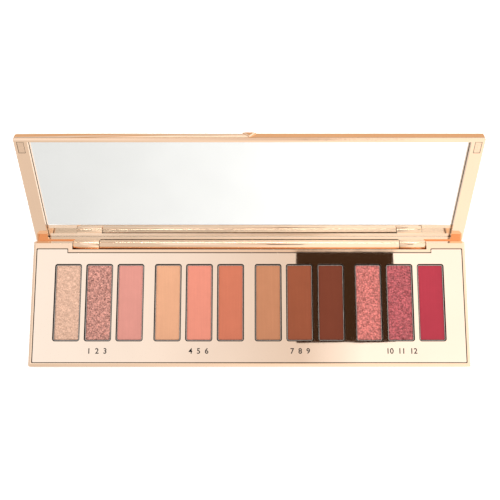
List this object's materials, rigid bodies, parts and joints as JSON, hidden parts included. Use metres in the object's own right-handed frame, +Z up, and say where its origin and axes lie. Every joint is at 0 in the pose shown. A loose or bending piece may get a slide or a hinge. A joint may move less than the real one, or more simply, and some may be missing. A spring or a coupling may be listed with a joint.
{
  "type": "eyeshadow palette",
  "caption": "Slim rectangular powder palette with grouped narrow pans in a polished plate and a hinged lid that holds a full-width mirror.",
  "frame": {"origin": "centre of the base's flat underside, on the surface it stands on", "axes": "+X along the width to the user's right, +Y from the front to the hinge, +Z up; rest pose has the lid open against its stop"},
  "size_m": [0.2, 0.0979, 0.0475],
  "materials": {
    "rose_gold_shell": "polished metallised plastic, rose gold",
    "gold_plate": "mirror-polished metallised plastic, pale gold",
    "pan_metal": "stamped bright sheet",
    "glue": "cured hot-melt spots",
    "steel": "bright wire and plated magnets",
    "mirror_glass": "silvered glass",
    "tape": "foam tape",
    "shade_01": "pressed shimmer powder, champagne",
    "shade_02": "pressed glitter powder, rosy",
    "shade_03": "pressed matte powder, soft pink",
    "shade_04": "pressed matte powder, peach",
    "shade_05": "pressed matte powder, coral pink",
    "shade_06": "pressed matte powder, terracotta",
    "shade_07": "pressed matte powder, tan",
    "shade_08": "pressed matte powder, brown",
    "shade_09": "pressed matte powder, deep brown",
    "shade_10": "pressed glitter powder, coral",
    "shade_11": "pressed glitter powder, rose",
    "shade_12": "pressed matte powder, raspberry"
  },
  "bodies": {
    "base": {"base_shell": "rose_gold_shell", "pan_plate": "gold_plate", "pan_adhesive": "glue", "pan_01": "pan_metal", "pan_02": "pan_metal", "pan_03": "pan_metal", "pan_04": "pan_metal", "pan_05": "pan_metal", "pan_06": "pan_metal", "pan_07": "pan_metal", "pan_08": "pan_metal", "pan_09": "pan_metal", "pan_10": "pan_metal", "pan_11": "pan_metal", "pan_12": "pan_metal", "shade_01": "shade_01", "shade_02": "shade_02", "shade_03": "shade_03", "shade_04": "shade_04", "shade_05": "shade_05", "shade_06": "shade_06", "shade_07": "shade_07", "shade_08": "shade_08", "shade_09": "shade_09", "shade_10": "shade_10", "shade_11": "shade_11", "shade_12": "shade_12", "base_magnet_left": "steel", "base_magnet_right": "steel", "hinge_pin_left": "steel", "hinge_pin_right": "steel"},
    "lid": {"lid_cover": "rose_gold_shell", "mirror_frame": "rose_gold_shell", "mirror": "mirror_glass", "mirror_tape": "tape", "lid_magnet_left": "steel", "lid_magnet_right": "steel"}
  },
  "joints": [
    {"name": "lid_hinge", "type": "hinge", "parent": "base", "child": "lid", "pos_m": [0, 0.02735, 0.00615], "axis": [1, 0, 0], "range_deg": [0, 129]}
  ]
}
